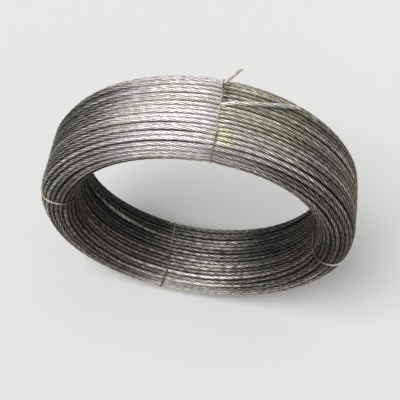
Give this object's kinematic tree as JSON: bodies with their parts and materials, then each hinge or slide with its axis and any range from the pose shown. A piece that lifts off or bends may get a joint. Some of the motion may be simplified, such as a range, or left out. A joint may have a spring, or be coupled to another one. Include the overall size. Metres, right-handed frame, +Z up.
{
  "type": "coil of steel strand",
  "caption": "Tied coil of galvanized steel strand, wound in neat layers round an open bore and bound with twisted wire ties.",
  "frame": {"origin": "centre of the bore, halfway along it", "axes": "+Y along the bore towards the back end, +Z up, +X to the right as seen from the front end"},
  "size_m": [0.5604, 0.1432, 0.6032],
  "materials": {
    "strand": "dull weathered zinc",
    "tie_wire": "weathered, straw-coloured"
  },
  "bodies": {
    "root": {"strand_coil": "strand", "tie_wire_1": "tie_wire", "tie_wire_2": "tie_wire", "tie_wire_3": "tie_wire", "tie_wire_4": "tie_wire"}
  },
  "joints": []
}
